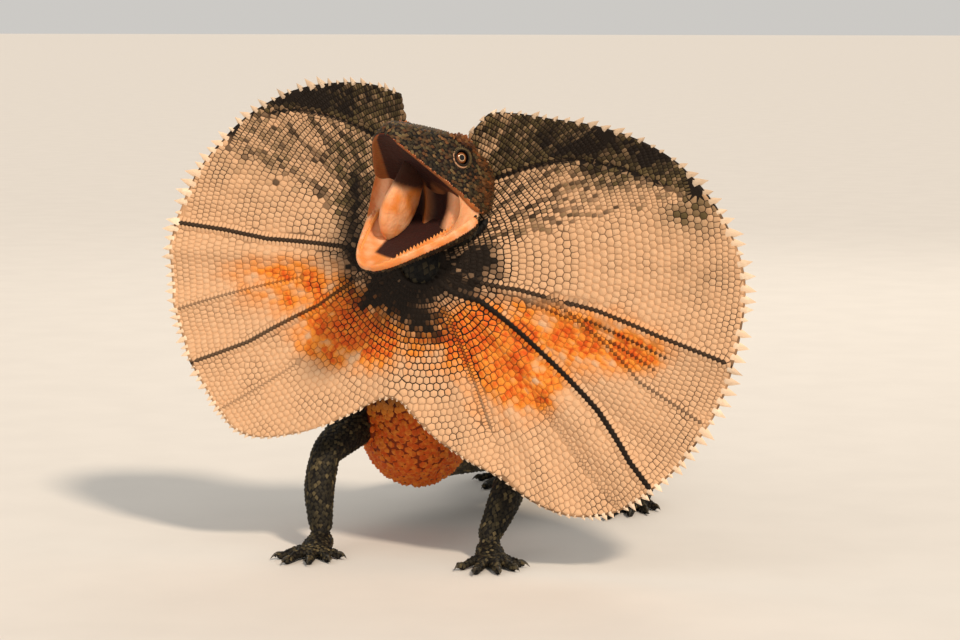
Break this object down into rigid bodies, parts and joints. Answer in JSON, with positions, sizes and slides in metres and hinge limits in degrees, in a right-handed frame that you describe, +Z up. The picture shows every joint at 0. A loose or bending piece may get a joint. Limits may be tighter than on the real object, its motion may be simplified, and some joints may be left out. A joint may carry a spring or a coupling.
{
  "type": "frilled lizard",
  "caption": "Life-size frilled lizard standing on all fours with its neck frill spread, mouth gaping and long tail laid behind it.",
  "frame": {"origin": "on the floor under the middle of the animal's bounding box", "axes": "the animal faces -Y with its tail towards +Y, its left side is +X, +Z is up"},
  "size_m": [0.2588, 0.723, 0.2038],
  "materials": {
    "head_skin": "satin",
    "body_skin": "satin",
    "chest_skin": "satin",
    "leg_skin": "satin",
    "frill_skin": "matte",
    "mouth": "wet",
    "tongue": "wet",
    "eye": "gloss"
  },
  "bodies": {
    "root": {"chest": "chest_skin", "eye_left": "eye", "eye_right": "eye", "foot_left": "leg_skin", "foot_right": "leg_skin", "forearm_left": "leg_skin", "forearm_right": "leg_skin", "frill_lower_left": "frill_skin", "frill_lower_right": "frill_skin", "frill_upper_left": "frill_skin", "frill_upper_right": "frill_skin", "hand_left": "leg_skin", "hand_right": "leg_skin", "head": "head_skin", "lower_jaw": "head_skin", "mouth_lining": "mouth", "neck": "body_skin", "shin_left": "leg_skin", "shin_right": "leg_skin", "tail_1": "body_skin", "tail_2": "body_skin", "tail_3": "body_skin", "tail_4": "body_skin", "tail_5": "body_skin", "thigh_left": "leg_skin", "thigh_right": "leg_skin", "tongue": "tongue", "torso": "body_skin", "upper_arm_left": "leg_skin", "upper_arm_right": "leg_skin"}
  },
  "joints": []
}
